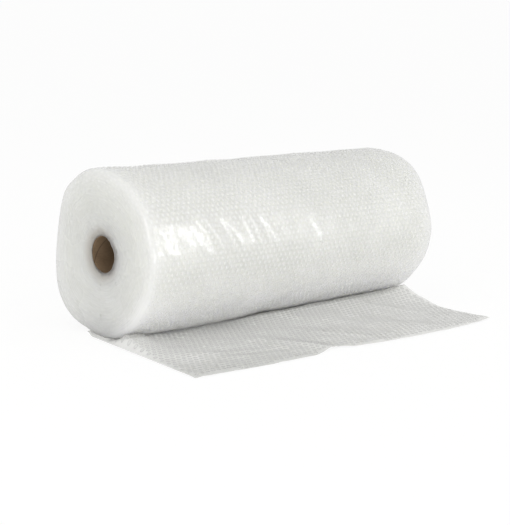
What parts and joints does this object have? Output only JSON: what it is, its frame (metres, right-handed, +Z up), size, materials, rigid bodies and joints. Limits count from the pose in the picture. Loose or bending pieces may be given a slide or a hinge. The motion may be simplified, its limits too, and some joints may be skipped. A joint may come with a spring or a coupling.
{
  "type": "bubble wrap roll",
  "caption": "Roll of clear bubble wrap on a cardboard core, lying on its side with its loose end spread on the floor.",
  "frame": {"origin": "centre of the roll's flat spot on the floor, below the middle of its axis", "axes": "+X along the roll's axis towards its far end, -Y towards the loose end, +Z up"},
  "size_m": [0.777, 0.504, 0.3199],
  "materials": {
    "bubble_film": "clear polyethylene film that looks milky white where it is wound, glossy",
    "core_board": "plain brown spiral-wound board, matt"
  },
  "bodies": {
    "root": {"bubble_film": "bubble_film", "cardboard_core": "core_board"}
  },
  "joints": []
}
